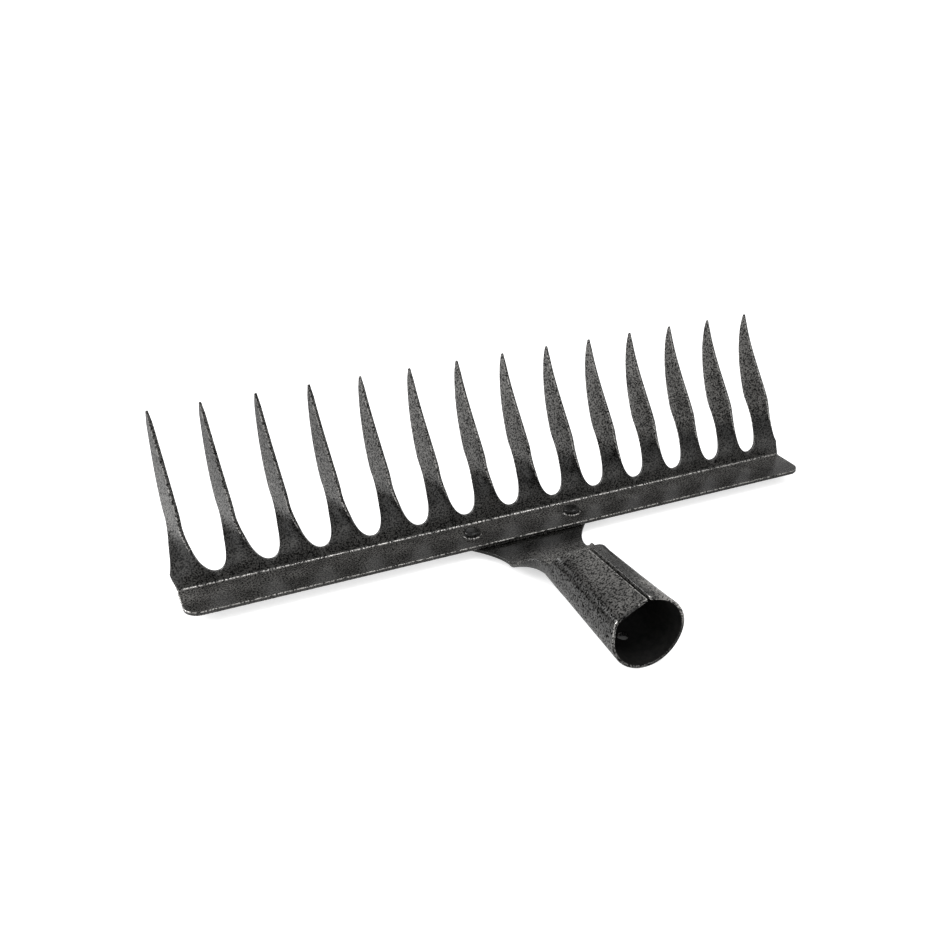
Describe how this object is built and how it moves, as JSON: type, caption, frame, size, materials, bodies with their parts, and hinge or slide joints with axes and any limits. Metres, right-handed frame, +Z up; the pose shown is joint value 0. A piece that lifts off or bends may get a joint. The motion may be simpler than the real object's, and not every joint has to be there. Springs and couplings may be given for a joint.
{
  "type": "garden rake head",
  "caption": "Steel garden rake head: a bent sheet blade with twisted pointed tines, riveted to a tongue that rolls into a handle socket.",
  "frame": {"origin": "the middle of the flange's front edge, halfway through the sheet", "axes": "+X along the blade, -Y towards the handle, +Z up from the flange, along the tines"},
  "size_m": [0.3623, 0.1643, 0.0944],
  "materials": {
    "coat": "dark hammered coating, semi-gloss with fine light speckles",
    "rivet": "dark coating, semi-gloss"
  },
  "bodies": {
    "root": {"tine_blade": "coat", "handle_socket": "coat", "rivet_left": "rivet", "rivet_right": "rivet"}
  },
  "joints": []
}
